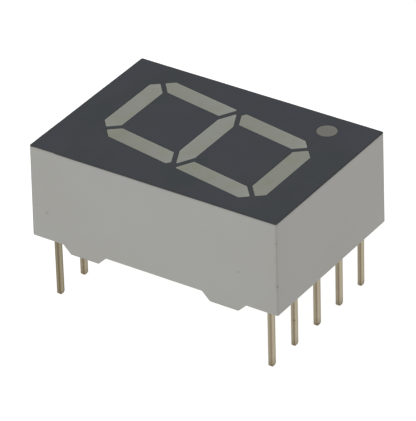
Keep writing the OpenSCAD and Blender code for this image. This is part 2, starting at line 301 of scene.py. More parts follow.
def roundOutline(points, radius, steps):
    # Each corner is an arc about the point that lies radius inside both of its edges.
    before, ahead = edgeUnits(points)
    turn = np.arccos(np.clip((before * ahead).sum(1), -1, 1))
    inwards = ahead - before
    inwards /= np.linalg.norm(inwards, axis=1, keepdims=True)
    centre = points + inwards * (radius / np.cos(turn / 2))[:, None]
    start = np.arctan2(-before[:, 0], before[:, 1])
    angle = start[:, None] + turn[:, None] * np.linspace(0, 1, steps + 1)
    arcs = centre[:, None] + radius * np.stack([np.cos(angle), np.sin(angle)], 2)
    return arcs.reshape(-1, 2)


def edgeDistance(points, outline):
    # Shortest way from each point to the outline's edges: the foot of the perpendicular on
    # every edge, kept between the edge's ends, then the least of them.
    ends = np.roll(outline, -1, 0) - outline
    away = points[:, None] - outline[None]
    share = np.clip((away * ends).sum(2) / (ends ** 2).sum(1), 0, 1)
    return np.linalg.norm(away - share[..., None] * ends, axis=2).min(1)


def newMesh(name, points, faces):
    mesh = bpy.data.meshes.new(name)
    mesh.from_pydata(points.tolist(), [], faces)
    mesh.validate()
    return mesh


def addPiece(mesh, material, node, smoothAngle):
    mesh.materials.clear()
    mesh.materials.append(material)
    mesh.polygons.foreach_set("material_index", np.zeros(len(mesh.polygons), np.int32))
    mesh.polygons.foreach_set("use_smooth", np.ones(len(mesh.polygons), bool))
    mesh.set_sharp_from_angle(angle=np.radians(smoothAngle))
    piece = bpy.data.objects.new(mesh.name, mesh)
    bpy.context.scene.collection.objects.link(piece)
    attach(piece, "root")
    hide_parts(node)
    return piece


def setPointValues(piece, name, values):
    layer = piece.data.attributes.new(name, "FLOAT", "POINT")
    layer.data.foreach_set("value", values.astype(np.float32))


def bandFaces(ids):
    # ids is rows x columns. Neighbouring rows are joined by quads all the way round.
    beside = np.roll(ids, -1, 1)
    return np.stack([ids[:-1], beside[:-1], beside[1:], ids[1:]], 2).reshape(-1, 4).tolist()


def ringSurface(rings):
    # rings is rows x columns x 3. Its rows are joined to a band, and the first and last rows are
    # closed by a fan to their mean point.
    rows, columns = rings.shape[:2]
    here = np.arange(rows * columns).reshape(rows, columns)
    beside = np.roll(here, -1, 1)
    lowPole, highPole = rows * columns, rows * columns + 1
    lowFan = np.stack([beside[0], here[0], np.full(columns, lowPole)], 1)
    highFan = np.stack([here[-1], beside[-1], np.full(columns, highPole)], 1)
    points = np.vstack([rings.reshape(-1, 3), rings[0].mean(0), rings[-1].mean(0)])
    return points, bandFaces(here) + lowFan.tolist() + highFan.tolist()


# The digit's outlines come from the same values as the part's source.
digit = dict(height=12.95 * mm, width=7.4 * mm, slant=10.0, stroke=1.25 * mm, gap=0.32 * mm,
             cornerCut=1.26 * mm, jointCut=0.54 * mm, tipRadius=0.08 * mm, cornerSteps=6,
             wellLength=2.4 * mm, wellWidth=0.85 * mm, lip=0.5 * mm)
outX, outY = digit["width"] / 2, digit["height"] / 2
inX, inY = outX - digit["stroke"], outY - digit["stroke"]
half, cut = digit["stroke"] / 2, digit["cornerCut"]
bevelX, bevelY = outX - cut / 2, outY - cut / 2  # the middle of a cut corner, where strokes meet
halfGap = digit["gap"] / 2
jointWay = np.array([-2.0, 1.0]) / np.sqrt(5.0)  # along the mitre: two across for one up
jointPoint = np.array([outX, 0]) + digit["jointCut"] * jointWay
# cell: its corners, and which of its edges are mitred ones
cells = dict(
    level=([[-inX, inY], [inX, inY], [bevelX, bevelY], [outX - cut, outY], [cut - outX, outY],
            [-bevelX, bevelY]], [0, 1, 0, 0, 0, 1]),
    arm=([[inX, half], [outX, 0], [outX, outY - cut], [bevelX, bevelY], [inX, inY]],
         [1, 0, 0, 1, 0]),
    cutArm=([[inX, half], jointPoint, [outX, digit["jointCut"]], [outX, outY - cut],
             [bevelX, bevelY], [inX, inY]], [1, 0, 0, 0, 1, 0]),
    middle=([[-outX, 0], [-inX, -half], [inX, -half], [outX, 0], [inX, half], [-inX, half]],
            [1, 0, 1, 1, 0, 1]))
# segment: its cell, and the sides of the digit, in x and in y, that it goes to
plan = dict(a=("level", 1, 1), b=("arm", 1, 1), c=("cutArm", 1, -1), d=("level", 1, -1),
            e=("arm", -1, -1), f=("cutArm", -1, 1), g=("middle", 1, 1))


def lean(points, share=1.0):
    # x grows by y times the tangent of the slant, times the share.
    return points + share * np.stack([points[:, 1] * np.tan(np.radians(digit["slant"])),
                                      np.zeros(len(points))], 1)


def segmentOutlines(letter):
    # The window is the cell with half a gap taken off its mitred edges. The well is the window
    # drawn in about its middle to the well's own length and width.
    kind, sideX, sideY = plan[letter]
    points, mitred = cells[kind]
    outline = insetOutline(np.array(points), np.array(mitred) * halfGap)
    outline = roundOutline(outline, digit["tipRadius"], digit["cornerSteps"])
    outline = outline * [sideX, sideY]
    if sideX * sideY < 0:
        outline = outline[::-1]
    upright = kind in ("arm", "cutArm")
    if upright:
        middle = np.array([sideX * (outX - half), sideY * (digit["height"] - digit["stroke"]) / 4])
        shrink = np.array([digit["wellWidth"] / digit["stroke"], digit["wellLength"] / (inY - half)])
    else:
        middle = np.array([0, sideY * (outY - half) if kind == "level" else 0.0])
        shrink = np.array([digit["wellLength"] / (2 * inX), digit["wellWidth"] / digit["stroke"]])
    well = middle + (outline - middle) * shrink
    return lean(outline), lean(well), lean(middle[None])[0], upright


# Each segment's two shares, at the ends of its stroke, say how far its colour is darkened by the
# tint: along an arm this is painted shade, darker towards +Y, the top of the digit, and a level
# segment is darkened the same all along. rimTurns are the rows of the rounded rim, in degrees,
# and rings the ones drawn in to the middle. The fades are ramps along or across a stroke.
resin = dict(sag=0.028 * mm, creep=0.14 * mm, rim=0.016 * mm, clearance=0.003 * mm,
             rimTurns=(0, 30, 60, 90),
             rings=(0.985, 0.965, 0.94, 0.9, 0.84, 0.76, 0.64, 0.5, 0.34, 0.16),
             dotWell=0.58 * mm, dotSteps=48, smoothAngle=30.0,
             colour=displayColour(134, 136, 130), deepColour=displayColour(130, 132, 118),
             paleColour=displayColour(138, 142, 137), shadeAndToneTint=(0.885, 0.88, 0.82, 1.0),
             speckColour=displayColour(96, 98, 88), dotColour=displayColour(105, 104, 98),
             dotPale=displayColour(118, 117, 110),
             age=dict(a=(0.35, 0.35), d=(0.8, 0.8), g=(0.15, 0.15), b=(0.0, 0.9), c=(0.1, 1.0),
                      e=(0.0, 1.0), f=(0.1, 1.1)),
             patches={"Scale": 900.0, "Detail": 2.0}, patchRange=(0.42, 0.66),
             deepFade=(0.25, 0.48, 0.6, 0.15), rimAcross=(0.36, 0.5), rimAlong=(0.40, 0.5),
             rimShare=0.4, speckShare=0.35, mottle={"Scale": 420.0, "Swing": 0.04},
             grain={"Scale": 16000.0, "Fine Share": 0.5, "Tone Swing": 0.12},
             specks={"Scale": 2600.0, "Size": 0.16, "Amount": 0.05},
             roughness=0.5, roughRange=(0.2, 0.8), roughSwing=(-0.06, 0.08), specular=0.4,
             bump=0.0015 * mm)


def makeResinMaterial(name, colour, deepColour, paleColour):
    # The stroke map runs 0 to 1 along and across each segment. Over the deep middle of the
    # well the resin's own tint shows in patches, and it pales at the rim. In the arms painted shade
    # darkens it towards +Y, the top of the digit, and a level segment is darkened evenly.
    material, tree, shader = startMaterial(name, resin)
    stroke = addNode(tree, "UVMap", uv_map="strokeMap").outputs[0]
    u, v, _ = addNode(tree, "SeparateXYZ", {0: stroke}).outputs
    along = calc(tree, "ABSOLUTE", calc(tree, "SUBTRACT", u, 0.5))
    across = calc(tree, "ABSOLUTE", calc(tree, "SUBTRACT", v, 0.5))
    patches = ramp(tree, noiseOf(tree, place(tree), resin["patches"]), *resin["patchRange"])
    deepShare = calc(tree, "MULTIPLY", ramp(tree, along, *resin["deepFade"]), patches)
    deep = mixColours(tree, deepShare, colour, deepColour)
    rim = calc(tree, "MAXIMUM", ramp(tree, across, *resin["rimAcross"]),
               ramp(tree, along, *resin["rimAlong"]))
    pale = markWith(tree, rim, resin["rimShare"], deep, paleColour)
    # painted shade along each arm, darker towards +Y, and an even darkening of each level segment
    age = addNode(tree, "Attribute", attribute_name="age").outputs["Fac"]
    shadedAndToned = mixColours(tree, age, pale, resin["shadeAndToneTint"], "MULTIPLY")
    mottle = useGroup(tree, "softMottle", resin["mottle"])
    grain = useGroup(tree, "mouldedGrain", resin["grain"])
    specks = useGroup(tree, "dustSpecks", resin["specks"])
    grained = tintBy(tree, shadedAndToned, mottle["Tone"], grain["Tone"])
    dotted = markWith(tree, specks["Mask"], resin["speckShare"], grained, resin["speckColour"])
    finishSurface(tree, shader, dotted, swingRough(tree, resin, grain["Height"]), grain["Height"],
                  resin["bump"])
    return material


def resinBody(node, window, well, middle, upright, age, material):
    # Rows from the well's floor up: the well outline, the window outline at the lip, a quarter
    # round at the rim, then rings drawn in to the middle. The top sinks by
    # sag * (1 - exp(-distance to the rim / creep)).
    clearance, rim = resin["clearance"], resin["rim"]
    top = faceLevel - clearance
    body = drawIn(window, clearance)
    low = [(drawIn(well, clearance), floorLevel + clearance), (body, faceLevel - digit["lip"])]
    walls = [(drawIn(body, rim * (1 - np.cos(turn))), top - rim * (1 - np.sin(turn)))
             for turn in np.radians(resin["rimTurns"])]
    rows = [np.column_stack([outline, np.full(len(outline), level)])
            for outline, level in low + walls]
    edge = rows[-1][:, :2]
    inner = middle + np.array(resin["rings"])[:, None, None] * (edge - middle)
    away = edgeDistance(inner.reshape(-1, 2), edge).reshape(inner.shape[:2])
    sunk = top - resin["sag"] * (1 - np.exp(-away / resin["creep"]))
    rings = np.concatenate([np.array(rows), np.concatenate([inner, sunk[..., None]], 2)])
    points, faces = ringSurface(rings)
    piece = addPiece(newMesh(node + "_resin", points, faces), material, node,
                     resin["smoothAngle"])
    straight = lean(points[:, :2] - middle, -1.0)
    uv = straight / np.ptp(straight, axis=0) + 0.5
    if upright:
        uv = uv[:, ::-1]
    corners = np.zeros(len(piece.data.loops), np.int32)
    piece.data.loops.foreach_get("vertex_index", corners)
    layer = piece.data.uv_layers.new(name="strokeMap")
    layer.data.foreach_set("uv", uv[corners].astype(np.float32).ravel())
    # the share of painted shade along an arm, and the even darkening of a level segment
    setPointValues(piece, "age", np.clip(age[0] + (age[1] - age[0]) * uv[:, 0], 0, 1))


segmentMaterial = makeResinMaterial("segmentResin", resin["colour"], resin["deepColour"],
                                    resin["paleColour"])
dotMaterial = makeResinMaterial("pointResin", resin["dotColour"], resin["dotColour"],
                                resin["dotPale"])
windows = []
for letter in letters:
    window, well, middle, upright = segmentOutlines(letter)
    windows.append(window)
    resinBody("segment_" + letter, window, well, middle, upright, resin["age"][letter],
              segmentMaterial)
dotMiddle = (dotLow[:2] + dotHigh[:2]) / 2
dotRadius = (dotHigh[0] - dotLow[0]) / 2
turns = np.linspace(0, 2 * np.pi, resin["dotSteps"], endpoint=False)
dotCircle = np.stack([np.cos(turns), np.sin(turns)], 1)
dotWindow = dotMiddle + dotRadius * dotCircle
windows.append(dotWindow)
resinBody("decimal_point", dotWindow, dotMiddle + resin["dotWell"] * dotCircle, dotMiddle, False,
          (0.0, 0.0), dotMaterial)
print("stage: segments and decimal point")


# waves: how many of each kind there are on the way round the face
ink = dict(edgeRound=0.012 * mm, cornerRadius=0.12 * mm, cornerSteps=8, spacing=0.12 * mm,
           bead=0.07 * mm, wander=0.010 * mm, waves=(11, 23, 41, 67, 97), waveMiddle=0.5,
           waveSwing=0.3, waveMost=1.2, shortBy=0.045 * mm, shortFrom=6.8 * mm,
           shortFade=0.4 * mm, smoothAngle=30.0,
           colour=displayColour(50, 52, 59), coolColour=displayColour(46, 51, 55),
           rimColour=displayColour(36, 38, 38), speckColour=displayColour(96, 97, 94),
           patches={"Scale": 220.0, "Detail": 3.0}, patchRange=(0.38, 0.62),
           rimShare=0.6, speckShare=0.3, mottle={"Scale": 260.0, "Swing": 0.16},
           grain={"Scale": 11000.0, "Fine Share": 0.5, "Tone Swing": 0.16},
           specks={"Scale": 900.0, "Size": 0.07, "Amount": 0.06},
           edge={"Reach": 0.16 * mm, "Break Up": 0.8, "Scale": 1500.0},
           roughness=0.62, roughRange=(0.25, 0.75), roughSwing=(-0.08, 0.1), specular=0.35,
           bump=0.003 * mm)


def roundedRectangle(halfSize, radius, spacing):
    # Corner arcs, with points along the straight sides between them: each side is cut into equal
    # steps that are as near to the spacing as a whole number of them gives.
    hx, hy = halfSize
    corners = roundOutline(np.array([[-hx, -hy], [hx, -hy], [hx, hy], [-hx, hy]]), radius,
                           ink["cornerSteps"])
    ahead = np.roll(corners, -1, 0) - corners
    counts = np.maximum(1, np.round(np.linalg.norm(ahead, axis=1) / spacing)).astype(int)
    start = np.repeat(np.arange(len(corners)), counts)
    step = np.arange(counts.sum()) - np.repeat(np.cumsum(counts) - counts, counts)
    return corners[start] + ahead[start] * (step / counts[start])[:, None]


def inkOutline():
    # The edge wanders inwards by wander times a middle value plus a sum of sines round the face,
    # each divided by its place in the list, and stops short along one stretch of the -X side.
    size = printHigh[:2] - printLow[:2]
    outline = roundedRectangle(size / 2, ink["cornerRadius"], ink["spacing"])
    way = np.cumsum(np.linalg.norm(np.roll(outline, -1, 0) - outline, axis=1)) / mm
    around = 2 * np.pi * way / way[-1]
    waves = sum(np.sin(around * k + k * k) / n for n, k in enumerate(ink["waves"], 1))
    wander = ink["wander"] * np.clip(ink["waveMiddle"] + ink["waveSwing"] * waves, 0, ink["waveMost"])
    onSide = (outline[:, 0] < hair - size[0] / 2) & (outline[:, 1] > ink["shortFrom"])
    toCorner = size[1] / 2 - ink["cornerRadius"] - outline[:, 1]
    short = ink["shortBy"] * onSide * np.clip(toCorner / ink["shortFade"], 0, 1)
    return drawIn(outline, wander + short)


def makeInk():
    # A sheet as thick as the print, between its outline and the windows. Every loop rises in four
    # rows: two up the wall, one past the rounded rim and one at the end of the bead. The bead's
    # value falls from 1 to 0 at the last row. The top and the bottom are cut into triangles.
    loops = [inkOutline()] + [window[::-1] for window in windows]
    steps = [(0, printLow[2]), (0, faceLevel - ink["edgeRound"]), (ink["edgeRound"], faceLevel),
             (ink["edgeRound"] + ink["bead"], faceLevel)]
    rings = [[np.column_stack([drawIn(loop, inwards), np.full(len(loop), level)])
              for inwards, level in steps] for loop in loops]
    points, faces, blocks = [], [], []
    count = 0
    for ring in rings:
        ids = count + np.arange(len(steps) * len(ring[0])).reshape(len(steps), -1)
        points += ring
        faces += bandFaces(ids)
        blocks.append(ids)
        count += ids.size
    bead = np.concatenate([np.repeat([1.0, 1.0, 1.0, 0.0], len(ring[0])) for ring in rings])
    for row, faceDown in ((-1, False), (0, True)):
        order = np.concatenate([ids[row] for ids in blocks])
        level = np.vstack([ring[row] for ring in rings])
        triangles = np.array(tessellate_polygon([[Vector(p) for p in ring[row]] for ring in rings]))
        a, b, c = (level[triangles[:, k], :2] for k in range(3))
        if (cross2(b - a, c - a).sum() < 0) != faceDown:
            triangles = triangles[:, ::-1]
        faces += order[triangles].tolist()
    return np.vstack(points), faces, bead


def makeInkMaterial():
    material, tree, shader = startMaterial("faceInk", ink)
    mottle = useGroup(tree, "softMottle", ink["mottle"])
    grain = useGroup(tree, "mouldedGrain", ink["grain"])
    specks = useGroup(tree, "dustSpecks", ink["specks"])
    base = patchColours(tree, ink, ink["colour"], ink["coolColour"])
    grained = tintBy(tree, base, mottle["Tone"], grain["Tone"])
    bead = addNode(tree, "Attribute", attribute_name="bead").outputs["Fac"]
    rim = calc(tree, "MAXIMUM", boxEdges(tree, printLow, printHigh, ink["edge"]), bead)
    edged = markWith(tree, rim, ink["rimShare"], grained, ink["rimColour"])
    dotted = markWith(tree, specks["Mask"], ink["speckShare"], edged, ink["speckColour"])
    finishSurface(tree, shader, dotted, swingRough(tree, ink, grain["Height"]), grain["Height"],
                  ink["bump"])
    return material


inkPoints, inkFaces, inkBead = makeInk()
inkPiece = addPiece(newMesh("face_ink", inkPoints, inkFaces), makeInkMaterial(),
                    "face_print", ink["smoothAngle"])
setPointValues(inkPiece, "bead", inkBead)
print("stage: ink")


# How a CAD mesh is copied: points nearer than mergeWithin become one, faces that turn by less
# than flatTurn degrees are joined, and edges that turn by over sharpTurn radians may be bevelled.
copying = dict(mergeWithin=0.0002 * mm, flatTurn=0.1, sharpTurn=0.5, weldWithin=0.0001 * mm)


def dressCopy(node, name, material, look, weigh):
    # A copy of a node's mesh with finely bevelled edges, each by the weight that weigh gives
    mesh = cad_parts[node].data.copy()
    mesh.name = name
    solid = bmesh.new()
    solid.from_mesh(mesh)
    bmesh.ops.remove_doubles(solid, verts=solid.verts, dist=copying["mergeWithin"])
    bmesh.ops.dissolve_limit(solid, angle_limit=np.radians(copying["flatTurn"]), verts=solid.verts,
                             edges=solid.edges)
    layer = solid.edges.layers.float.new("bevel_weight_edge")
    for edge in solid.edges:
        if len(edge.link_faces) == 2 and edge.calc_face_angle(0.0) > copying["sharpTurn"]:
            edge[layer] = weigh((edge.verts[0].co + edge.verts[1].co) / 2)
    solid.to_mesh(mesh)
    solid.free()
    piece = addPiece(mesh, material, node, look["smoothAngle"])
    bevel = piece.modifiers.new("edges", "BEVEL")
    bevel.width = look["bevel"]
    bevel.segments = look["bevelSteps"]
    bevel.limit_method = "WEIGHT"
    bevel.harden_normals = True
    bevel.miter_outer = "MITER_ARC"
    # At tight bends the bevel leaves points on top of each other.
    piece.modifiers.new("joined", "WELD").merge_threshold = copying["weldWithin"]


# scuff: its place and radius in mm, and how strongly it shows
shell = dict(bevel=0.05 * mm, bevelSteps=2, smoothAngle=35.0, footHeight=0.55 * mm,
             faceWeight=0.3, sideMargin=0.02 * mm, topMargin=0.01 * mm,
             colour=displayColour(151, 151, 147), warmColour=displayColour(149, 148, 143),
             darkColour=displayColour(128, 127, 121), scuffColour=displayColour(112, 110, 104),
             patches={"Scale": 90.0, "Detail": 2.0}, patchRange=(0.35, 0.7),
             edgeShare=0.5, speckShare=0.25, mottle={"Scale": 150.0, "Swing": 0.035},
             grain={"Scale": 9000.0, "Fine Share": 0.45, "Tone Swing": 0.07},
             specks={"Scale": 700.0, "Size": 0.07, "Amount": 0.05},
             edge={"Reach": 0.16 * mm, "Break Up": 0.6, "Scale": 1800.0},
             roughness=0.55, roughRange=(0.25, 0.75), roughSwing=(-0.07, 0.08), specular=0.4,
             bump=0.004 * mm,
             scuffs=[((-6.08, 7.59, 2.45), 0.18, 0.45), ((-6.08, -6.04, 2.75), 0.16, 0.35),
                     ((-6.04, -8.74, 5.48), 0.17, 0.8), ((-6.03, -8.74, 2.58), 0.16, 0.8)])


def makeHousingMaterial():
    material, tree, shader = startMaterial("housingPlastic", shell)
    mottle = useGroup(tree, "softMottle", shell["mottle"])
    grain = useGroup(tree, "mouldedGrain", shell["grain"])
    specks = useGroup(tree, "dustSpecks", shell["specks"])
    draft = (housingHigh[0] - printHigh[0]) / (printLow[2] - shell["footHeight"])
    edge = boxEdges(tree, housingLow, housingHigh,
                    {**shell["edge"], "Rim": shell["footHeight"], "Draft": draft})
    base = patchColours(tree, shell, shell["colour"], shell["warmColour"])
    grained = tintBy(tree, base, mottle["Tone"], grain["Tone"])
    edged = markWith(tree, edge, shell["edgeShare"], grained, shell["darkColour"])
    colour = markWith(tree, specks["Mask"], shell["speckShare"], edged, shell["darkColour"])
    for at, radius, share in shell["scuffs"]:
        colour = markWith(tree, scuffAt(tree, at, radius), share, colour, shell["scuffColour"])
    finishSurface(tree, shader, colour, swingRough(tree, shell, grain["Height"]), grain["Height"],
                  shell["bump"])
    return material


def housingWeight(at):
    # The feet and the rim get the full bevel, the edges round the face a part of it, and the
    # edges inside none.
    if at.z < fillLevel:
        return 1.0 if at.z < shell["footHeight"] + hair else 0.0
    outside = max(abs(at.x) - printHigh[0], abs(at.y) - printHigh[1]) > -shell["sideMargin"]
    return shell["faceWeight"] if outside and at.z > printLow[2] - shell["topMargin"] else 0.0


dressCopy("housing", "housing_shell", makeHousingMaterial(), shell, housingWeight)
print("stage: housing")


# the fade before tipPatches, and tipPatches: ramps of the painted dark reflection on the edges
# through the sheet, and of the bare patches at the tip
# fullReach, tipReach: shares of reach that are worn in full at an edge, and bare at the tip
# scuff: its place and radius in mm
lead = dict(bevel=0.045 * mm, bevelSteps=3, smoothAngle=40.0, pitch=2.54 * mm, span=15.24 * mm,
            width=0.46 * mm, thickness=0.25 * mm,
            faceColour=displayColour(164, 154, 132), sideColour=displayColour(161, 152, 135),
            edgeColour=displayColour(126, 112, 87), tipColour=displayColour(102, 84, 62),
            # the first tint on this line is painted shade for the top row, and darkens every leg near its
            # tip
            shadeAndTipTint=(0.76, 0.76, 0.71, 1.0), scuffColour=displayColour(94, 76, 58),
            reach=0.16 * mm, fullReach=0.15, tipReach=1.5, edgeReflectionFade=(-0.8, 0.8, 1.0, 0.25),
            tipPatches=(0.42, 0.58, 0.45, 1.0), tipDarkReach=0.7 * mm, frontEdgeShare=0.8, restOfRow=0.35,
            shearRange=(0.5, 0.85), speckShare=0.5,
            mottle={"Scale": 900.0, "Swing": 0.10, "Stretch": (1, 1, 0.35)},
            streaks={"Scale": 5200.0, "Swing": 0.14, "Stretch": (1, 1, 0.06)},
            specks={"Scale": 1500.0, "Size": 0.13, "Amount": 0.08},
            roughness=0.36, roughRange=(0.0, 1.0), roughSwing=(-0.04, 0.14), specular=0.5,
            metallic=1.0, bump=0.002 * mm,
            scuffs=[((-2.72, -7.74, -1.99), 0.13), ((-0.16, -7.74, -3.74), 0.17)])


def makeLegMask():
    # Where a point lies on its leg: the ways to the leg's long edges and to its tip, which is
    # bare in patches. Along the edges goes a painted dark reflection, strongest on the side towards
    # -Y. The legs repeat at the pitch, so x is wrapped, and y is measured from the row.
    group, given, result = startGroup("legPlace", [
        ("Pitch", "Float", 2.5 * mm), ("Row", "Float", 7.5 * mm), ("Half Width", "Float", 0.25 * mm),
        ("Half Thickness", "Float", 0.15 * mm), ("Tip", "Float", -4.0 * mm), ("Reach", "Float", 0.1 * mm)],
        [("Edge", "Float"), ("Tip", "Float")])
    at = place(group)
    x, y, z = addNode(group, "SeparateXYZ", {0: at}).outputs
    halfPitch = calc(group, "MULTIPLY", given["Pitch"], 0.5)
    wrapped = calc(group, "WRAP", x, calc(group, "MULTIPLY", halfPitch, -1.0), halfPitch)
    sideways = calc(group, "SUBTRACT", given["Half Width"], calc(group, "ABSOLUTE", wrapped))
    rowAt = calc(group, "MULTIPLY", calc(group, "SIGN", y), given["Row"])
    inRow = calc(group, "SUBTRACT", y, rowAt)
    through = calc(group, "SUBTRACT", given["Half Thickness"], calc(group, "ABSOLUTE", inRow))
    # painted dark reflection on the edges: full on the -Y side of the sheet, a quarter of it on the +Y
    # side
    edgeReflection = ramp(group, calc(group, "DIVIDE", inRow, given["Half Thickness"]), *lead["edgeReflectionFade"])
    noise = noiseOf(group, at, {"Scale": 4000.0, "Detail": 2.0})
    reach = calc(group, "MULTIPLY", given["Reach"], calc(group, "ADD", noise, 0.5))
    farther = calc(group, "MAXIMUM", sideways, through)
    full = calc(group, "MULTIPLY", reach, lead["fullReach"])
    edge = calc(group, "MULTIPLY", ramp(group, farther, full, reach, 1.0, 0.0), edgeReflection)
    group.links.new(edge, result["Edge"])
    up = calc(group, "SUBTRACT", z, given["Tip"])
    bare = ramp(group, noiseOf(group, at, {"Scale": 3600.0, "Detail": 2.0}), *lead["tipPatches"])
    near = ramp(group, up, 0.0, calc(group, "MULTIPLY", reach, lead["tipReach"]), 1.0, 0.0)
    group.links.new(calc(group, "MULTIPLY", near, bare), result["Tip"])


def makeLeadMaterial():
    # The sheared sides of the stamping face along x. They have a colour of their own and are rougher.
    material, tree, shader = startMaterial("leadPlating", lead)
    normal = addNode(tree, "SeparateXYZ", {0: addNode(tree, "NewGeometry").outputs["Normal"]}).outputs
    sheared = ramp(tree, calc(tree, "ABSOLUTE", normal[0]), *lead["shearRange"])
    mottle = useGroup(tree, "softMottle", lead["mottle"])
    streaks = useGroup(tree, "softMottle", lead["streaks"])
    leg = useGroup(tree, "legPlace", {
        "Pitch": lead["pitch"], "Row": lead["span"] / 2, "Half Width": lead["width"] / 2,
        "Half Thickness": lead["thickness"] / 2, "Tip": tipLevel, "Reach": lead["reach"]})
    specks = useGroup(tree, "dustSpecks", lead["specks"])
    base = mixColours(tree, sheared, lead["faceColour"], lead["sideColour"])
    streaked = tintBy(tree, base, mottle["Tone"], streaks["Tone"])
    # The row at the top of the digit gets painted shade, as under the body, most of all at its -X
    # end, and every leg is darkened near its tip. The painted reflection on the edges is darker in that
    # row too.
    x, y, z = addNode(tree, "SeparateXYZ", {0: place(tree)}).outputs
    topRow = ramp(tree, y, -lead["span"] / 2, lead["span"] / 2)
    # the painted dark reflection along the edges, stronger in the top row as part of its painted shade
    edgeShare = ramp(tree, topRow, 0.0, 1.0, lead["frontEdgeShare"], 1.0)
    edged = markWith(tree, leg["Edge"], edgeShare, streaked, lead["edgeColour"])
    ends = ramp(tree, x, -2 * lead["pitch"], -lead["pitch"], 1.0, lead["restOfRow"])
    rowShadeShare = calc(tree, "MULTIPLY", topRow, ends)
    lowShare = ramp(tree, z, tipLevel, tipLevel + lead["tipDarkReach"], 1.0, 0.0)
    # painted shade on the top row, and a darkening near the tips
    shadedAndTipDark = mixColours(tree, calc(tree, "MAXIMUM", rowShadeShare, lowShare), edged, lead["shadeAndTipTint"],
                        "MULTIPLY")
    tipped = mixColours(tree, leg["Tip"], shadedAndTipDark, lead["tipColour"])
    marks = calc(tree, "MULTIPLY", specks["Mask"], lead["speckShare"])
    for at, radius in lead["scuffs"]:
        marks = calc(tree, "MAXIMUM", marks, scuffAt(tree, at, radius))
    colour = mixColours(tree, marks, tipped, lead["scuffColour"])
    rough = calc(tree, "MULTIPLY", swingRough(tree, lead, sheared), mottle["Tone"])
    finishSurface(tree, shader, colour, rough, streaks["Tone"], lead["bump"])
    return material


makeLegMask()
leadMaterial = makeLeadMaterial()
for node in ["lead_common"] + ["lead_" + signal for signal in signals]:
    dressCopy(node, node + "_plated", leadMaterial, lead, lambda at: 1.0)
print("stage: leads")


fill = dict(climb=0.14 * mm, creep=0.22 * mm, cornerRadius=0.3 * mm, cell=0.3 * mm,
            nearSteps=(0.04, 0.09, 0.16, 0.26, 0.4), crowded=2.2, smoothAngle=40.0,
            colour=displayColour(176, 174, 160), deepColour=displayColour(164, 160, 142),
            bubbleColour=displayColour(120, 116, 100), bubbleShare=0.4, bubbleDepth=1.5,
            patches={"Scale": 260.0, "Detail": 3.0}, patchRange=(0.35, 0.7),
            mottle={"Scale": 180.0, "Swing": 0.06},
            grain={"Scale": 2500.0, "Fine Share": 0.3, "Tone Swing": 0.05},
            bubbles={"Scale": 900.0, "Size": 0.16, "Amount": 0.06},
            roughness=0.28, roughRange=(0.94, 1.06), roughSwing=(-0.06, 0.1), specular=0.5,
            bump=0.006 * mm)


def makeFillMaterial():
    material, tree, shader = startMaterial("backResin", fill)
    mottle = useGroup(tree, "softMottle", fill["mottle"])
    grain = useGroup(tree, "mouldedGrain", fill["grain"])
    bubbles = useGroup(tree, "dustSpecks", fill["bubbles"])
    base = patchColours(tree, fill, fill["colour"], fill["deepColour"])
    toned = tintBy(tree, base, mottle["Tone"])
    colour = markWith(tree, bubbles["Mask"], fill["bubbleShare"], toned, fill["bubbleColour"])
    pits = calc(tree, "MULTIPLY", bubbles["Mask"], -fill["bubbleDepth"])
    finishSurface(tree, shader, colour, swingRough(tree, fill, mottle["Tone"]),
                  calc(tree, "ADD", pits, grain["Height"]), fill["bump"])
    return material


def stops(edges):
    # Grid lines: every value in edges is one. The near steps are set off from both ends of each
    # span, as far as they keep clear of its middle, and even cells fill what is left.
    near = np.array(fill["nearSteps"]) * mm
    parts = []
    for low, high in zip(edges[:-1], edges[1:]):
        span = high - low
        close = near[near < span / fill["crowded"]]
        clear = (close[-1] if len(close) else 0) + near[0]
        inner = np.linspace(0, span, max(2, int(round(span / fill["cell"])) + 1))[1:-1]
        inner = inner[(inner > clear) & (inner < span - clear)]
        parts.append(low + np.unique(np.concatenate([[0.0], close, inner, span - close])))
    return np.concatenate(parts + [[edges[-1]]])


def roundCorners(x, y, halfX, halfY):
    # In a corner a point keeps its direction from the arc's centre, and goes as far out as the
    # larger of its two ways, so the square's rings become arcs. The way to the wall comes along.
    radius = fill["cornerRadius"]
    beyondX = np.maximum(np.abs(x) - (halfX - radius), 0)
    beyondY = np.maximum(np.abs(y) - (halfY - radius), 0)
    inCorner = (beyondX > 0) & (beyondY > 0)
    farther = np.maximum(beyondX, beyondY)
    squash = farther / np.where(inCorner, np.hypot(beyondX, beyondY), 1)
    placeX = np.where(inCorner, np.sign(x) * (halfX - radius + beyondX * squash), x)
    placeY = np.where(inCorner, np.sign(y) * (halfY - radius + beyondY * squash), y)
    toSides = np.minimum(halfX - np.abs(x), halfY - np.abs(y))
    return placeX, placeY, np.maximum(np.where(inCorner, radius - farther, toSides), 0)


